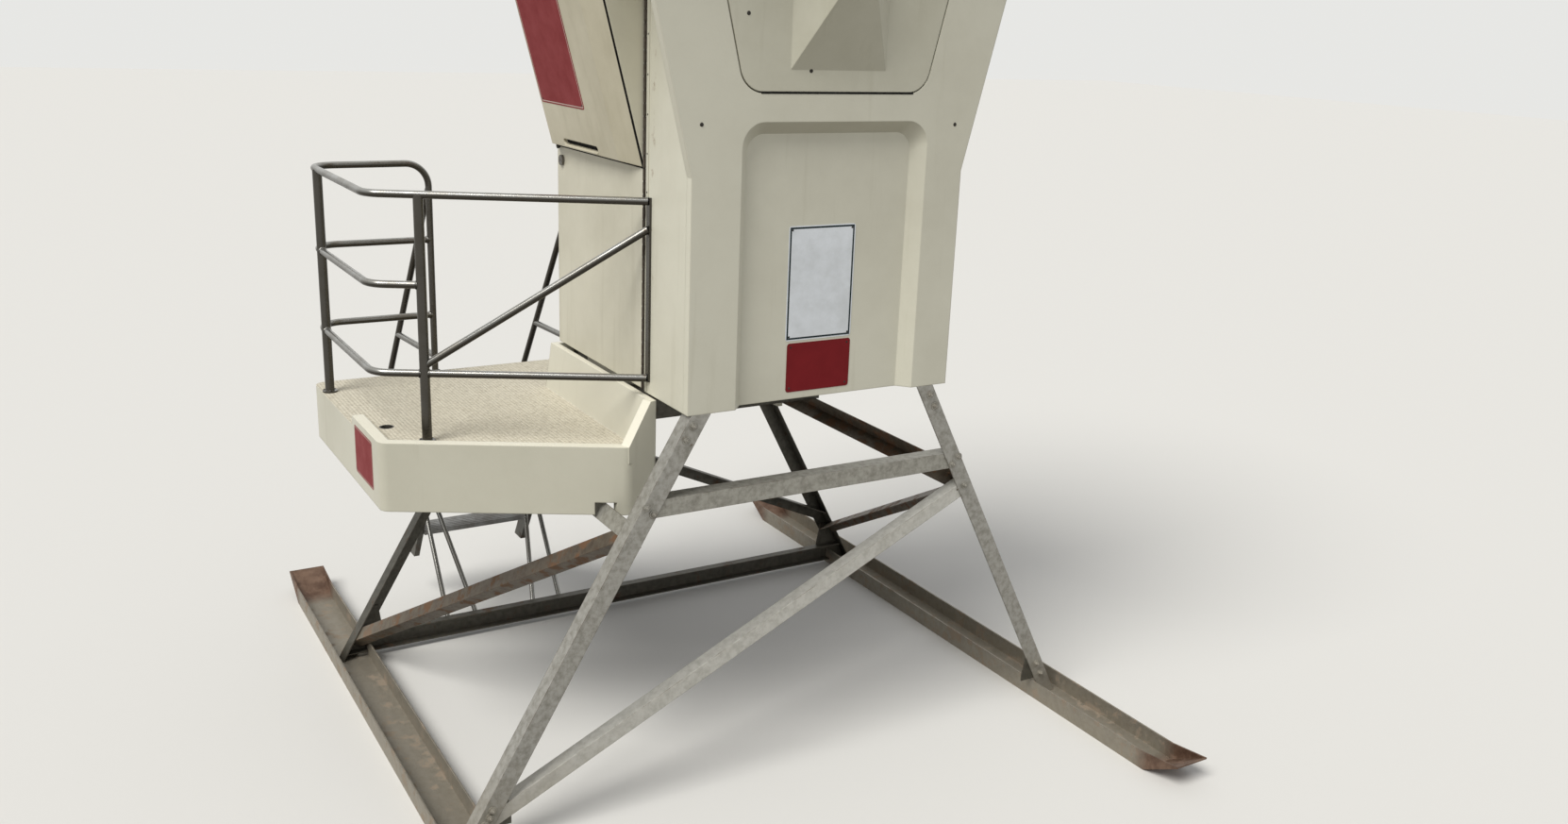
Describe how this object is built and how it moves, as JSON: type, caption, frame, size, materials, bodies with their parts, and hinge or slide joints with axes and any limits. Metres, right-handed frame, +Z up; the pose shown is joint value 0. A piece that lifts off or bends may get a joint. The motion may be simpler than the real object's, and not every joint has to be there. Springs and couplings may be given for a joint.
{
  "type": "lifeguard tower",
  "caption": "Moulded beach lookout cabin with a hinged door, railed deck and ladder, on splayed angle-steel legs with skid runners",
  "frame": {"origin": "middle of the whole footprint, on the ground", "axes": "+X from the deck to the rear wall, +Y from the plain side wall to the ladder side, +Z up"},
  "size_m": [3.26, 3.95, 4.14],
  "materials": {
    "shell": "cream gelcoat, slightly dull",
    "shutter": "cream gelcoat",
    "roof": "cream gelcoat, weathered",
    "floor": "matt grey floor",
    "door": "cream gelcoat",
    "fittings": "dull stainless steel",
    "deck": "cream gelcoat, sanded floor",
    "stainless": "satin stainless tube",
    "ladder": "weathered aluminium",
    "galvanised": "weathered zinc with rust spots",
    "rusty": "rusted brown steel"
  },
  "bodies": {
    "root": {"near_wall": "shell", "far_wall": "shell", "rear_wall": "shell", "front_wall_strip": "shell", "front_wall_over_door": "shell", "near_shutter": "shutter", "far_shutter": "shutter", "rear_shutter": "shutter", "roof": "roof", "cabin_floor": "floor", "door_hinge": "fittings", "deck_socket": "fittings", "deck": "deck", "handrail_wall_bar": "stainless", "handrail_top_front": "stainless", "handrail_top_rear": "stainless", "handrail_posts": "stainless", "handrail_lower_front": "stainless", "handrail_lower_rear": "stainless", "handrail_middle_front": "stainless", "handrail_middle_rear": "stainless", "handrail_diagonal": "stainless", "ladder_handrail_left": "stainless", "ladder_handrail_right": "stainless", "ladder_props": "stainless", "ladder_braces": "stainless", "ladder_stringer_left": "ladder", "ladder_stringer_right": "ladder", "ladder_treads": "ladder", "leg_near_front": "galvanised", "leg_near_rear": "galvanised", "leg_far_front": "galvanised", "leg_far_rear": "galvanised", "tie_near": "galvanised", "tie_far": "galvanised", "tie_front": "galvanised", "diagonal_near": "galvanised", "diagonal_far": "galvanised", "ground_beam_far": "galvanised", "runner_front": "galvanised", "runner_rear": "galvanised", "deck_beam_near": "galvanised", "deck_beam_far": "galvanised", "cabin_trestle": "galvanised", "tie_rear": "rusty", "diagonal_front": "rusty", "diagonal_rear": "rusty"},
    "door": {"door": "door", "door_hatch": "door", "door_lock": "fittings"}
  },
  "joints": [
    {"name": "door_hinge_turn", "type": "hinge", "parent": "root", "child": "door", "pos_m": [-0.582, -0.585, 1.75], "axis": [0, 0, 1], "range_deg": [0, 60]}
  ]
}
